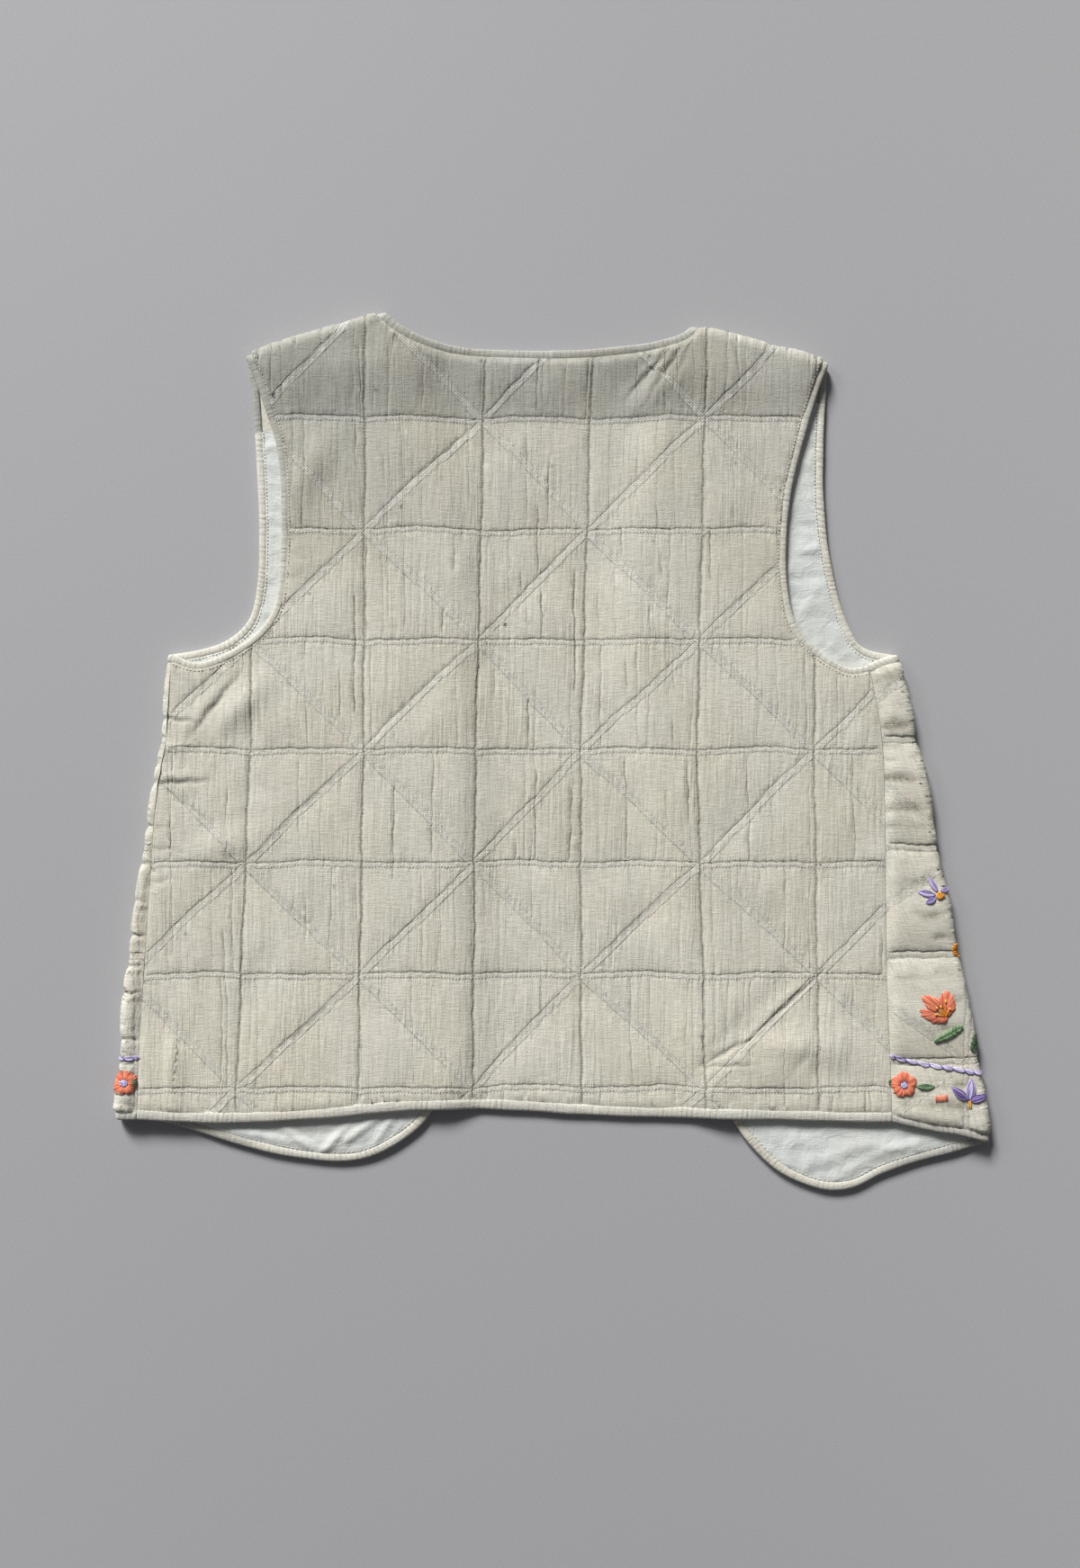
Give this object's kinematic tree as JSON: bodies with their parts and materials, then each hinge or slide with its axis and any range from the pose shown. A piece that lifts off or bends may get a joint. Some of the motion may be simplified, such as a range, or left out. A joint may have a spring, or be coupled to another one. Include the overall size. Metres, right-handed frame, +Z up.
{
  "type": "embroidered quilted waistcoat laid flat",
  "caption": "Sleeveless open waistcoat of quilted cloth, laid face down with its back up; fronts wrap round the side folds and their rounded lined hems show below the back.",
  "frame": {"origin": "centre of the bounding box at the surface that the garment lies on", "axes": "+Y from the hem towards the neck, +X to the right as seen from above with the neck away, +Z up off the surface"},
  "size_m": [0.5845, 0.5877, 0.0124],
  "materials": {
    "quilted_cotton": "matt cream quilted double-layer cotton with slubs and crinkles",
    "lining_cotton": "smooth matt bluish-white cotton lining",
    "binding_cotton": "matt cream rolled edge with a row of stitching"
  },
  "bodies": {
    "root": {"back_panel": "quilted_cotton", "front_left": "quilted_cotton", "front_right": "quilted_cotton", "lining_left": "lining_cotton", "lining_right": "lining_cotton", "armhole_binding_left": "binding_cotton", "armhole_binding_right": "binding_cotton", "edge_binding_left": "binding_cotton", "edge_binding_right": "binding_cotton", "hem_binding": "binding_cotton", "neck_binding": "binding_cotton"}
  },
  "joints": []
}
